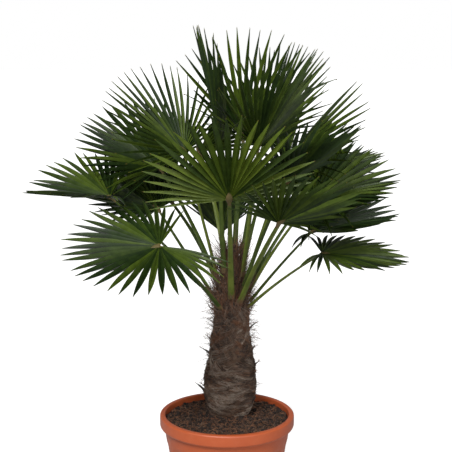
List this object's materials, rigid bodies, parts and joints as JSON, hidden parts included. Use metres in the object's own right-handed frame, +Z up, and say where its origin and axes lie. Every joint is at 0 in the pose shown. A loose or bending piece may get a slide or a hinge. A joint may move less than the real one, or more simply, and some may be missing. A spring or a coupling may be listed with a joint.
{
  "type": "potted windmill palm",
  "caption": "Young windmill palm with a hairy trunk and stiff fan leaves, standing in soil in a round terracotta-coloured plastic pot.",
  "frame": {"origin": "centre of the pot's flat underside, which stands on the floor", "axes": "+Z up; -Y is the front, the side that the picture shows, and +X is to the right there"},
  "size_m": [1.1006, 1.0765, 1.4891],
  "materials": {
    "terracotta_plastic": "satin",
    "compost": "rough, crumbly",
    "fibrous_bark": "rough, fibrous",
    "stalk_green": "satin",
    "leaf_green": "satin"
  },
  "bodies": {
    "root": {"pot": "terracotta_plastic", "soil": "compost", "trunk": "fibrous_bark", "stalk_front": "stalk_green", "stalk_low_left": "stalk_green", "stalk_far_left": "stalk_green", "stalk_front_right": "stalk_green", "stalk_far_right": "stalk_green", "stalk_low_right": "stalk_green", "stalk_mid_left": "stalk_green", "stalk_upper_left": "stalk_green", "stalk_top_back": "stalk_green", "stalk_top_right": "stalk_green", "stalk_top_left": "stalk_green", "stalk_upper_right": "stalk_green", "stalk_right_node": "stalk_green", "stalk_right_out": "stalk_green", "stalk_right_back": "stalk_green", "stalk_left_up": "stalk_green", "stalk_back_left": "stalk_green", "stalk_low_back": "stalk_green", "stalk_behind_right": "stalk_green", "stalk_behind_low": "stalk_green", "stalk_behind": "stalk_green", "stalk_behind_up": "stalk_green", "fan_front": "leaf_green", "fan_low_left": "leaf_green", "fan_far_left": "leaf_green", "fan_front_right": "leaf_green", "fan_far_right": "leaf_green", "fan_low_right": "leaf_green", "fan_mid_left": "leaf_green", "fan_upper_left": "leaf_green", "fan_top_back": "leaf_green", "fan_top_right": "leaf_green", "fan_top_left": "leaf_green", "fan_upper_right": "leaf_green", "fan_right_node": "leaf_green", "fan_right_out": "leaf_green", "fan_right_back": "leaf_green", "fan_left_up": "leaf_green", "fan_back_left": "leaf_green", "fan_low_back": "leaf_green", "fan_behind_right": "leaf_green", "fan_behind_low": "leaf_green", "fan_behind": "leaf_green", "fan_behind_up": "leaf_green"}
  },
  "joints": []
}
